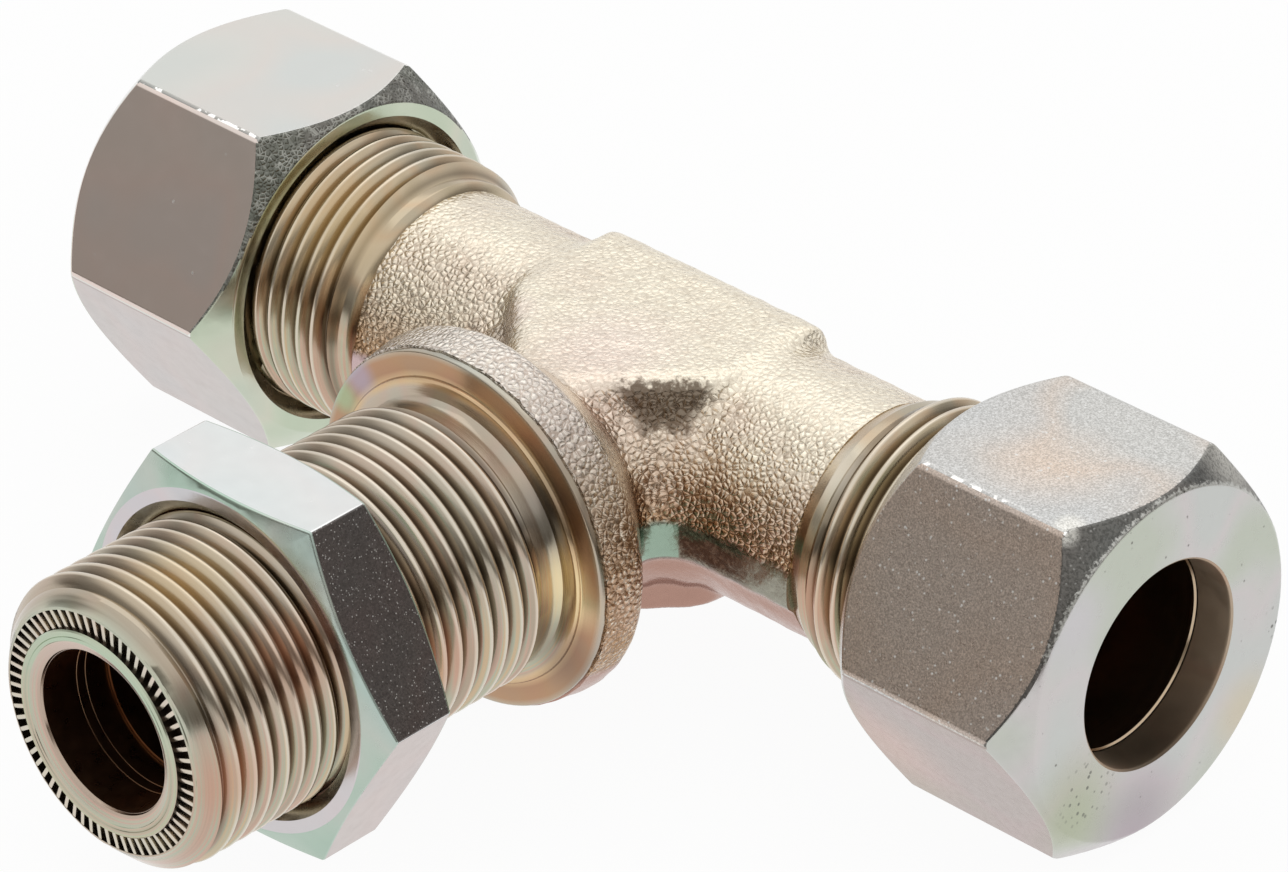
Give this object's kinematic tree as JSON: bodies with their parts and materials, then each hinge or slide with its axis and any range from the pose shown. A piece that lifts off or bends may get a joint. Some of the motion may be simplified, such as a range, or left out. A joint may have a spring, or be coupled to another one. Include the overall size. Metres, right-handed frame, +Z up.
{
  "type": "bulkhead branch tee for compression-jointed tube",
  "caption": "Forged steel tee with compression joints for tube on its run and a long flanged bulkhead stud with a lock nut as its branch.",
  "frame": {"origin": "where the axes of the run and the branch cross, inside the centre block", "axes": "+X along the run to the right nut, -Y along the branch to its free end, +Z up, square to all three arms"},
  "size_m": [0.0956, 0.0709, 0.0286],
  "materials": {
    "forged_body": "zinc-plated and passivated forging, rough, with turned ends",
    "blasted_nut": "zinc-plated and passivated, satin, finely speckled",
    "smooth_nut": "zinc-plated and passivated, smooth",
    "lock_nut": "zinc-plated and passivated, smooth on its faces",
    "ring": "hardened and plated"
  },
  "bodies": {
    "tee": {"tee_body": "forged_body"},
    "right_ring": {"cutting_ring_right": "ring"},
    "right_nut": {"union_nut_right": "blasted_nut"},
    "left_ring": {"cutting_ring_left": "ring"},
    "left_nut": {"union_nut_left": "smooth_nut"},
    "lock": {"lock_nut": "lock_nut"}
  },
  "joints": [
    {"name": "right_ring_travel", "type": "slide", "parent": "tee", "child": "right_ring", "axis": [1, 0, 0], "range_m": [0, 0.00601]},
    {"name": "right_nut_turn", "type": "hinge", "parent": "right_ring", "child": "right_nut", "pos_m": [0.038, 0, 0], "axis": [1, 0, 0], "range_deg": [0, 1440]},
    {"name": "left_ring_travel", "type": "slide", "parent": "tee", "child": "left_ring", "axis": [-1, 0, 0], "range_m": [-0.00161, 0.00441]},
    {"name": "left_nut_turn", "type": "hinge", "parent": "left_ring", "child": "left_nut", "pos_m": [-0.038, 0, 0], "axis": [-1, 0, 0], "range_deg": [-384, 1056]},
    {"name": "lock_nut_travel", "type": "slide", "parent": "tee", "child": "lock", "axis": [0, -1, 0], "range_m": [-0.015, 0.012]}
  ],
  "couplings": [
    {"joint": "right_ring_travel", "follows": "right_nut_turn", "m_per_rad": 0.00023873},
    {"joint": "left_ring_travel", "follows": "left_nut_turn", "m_per_rad": 0.00023873}
  ]
}
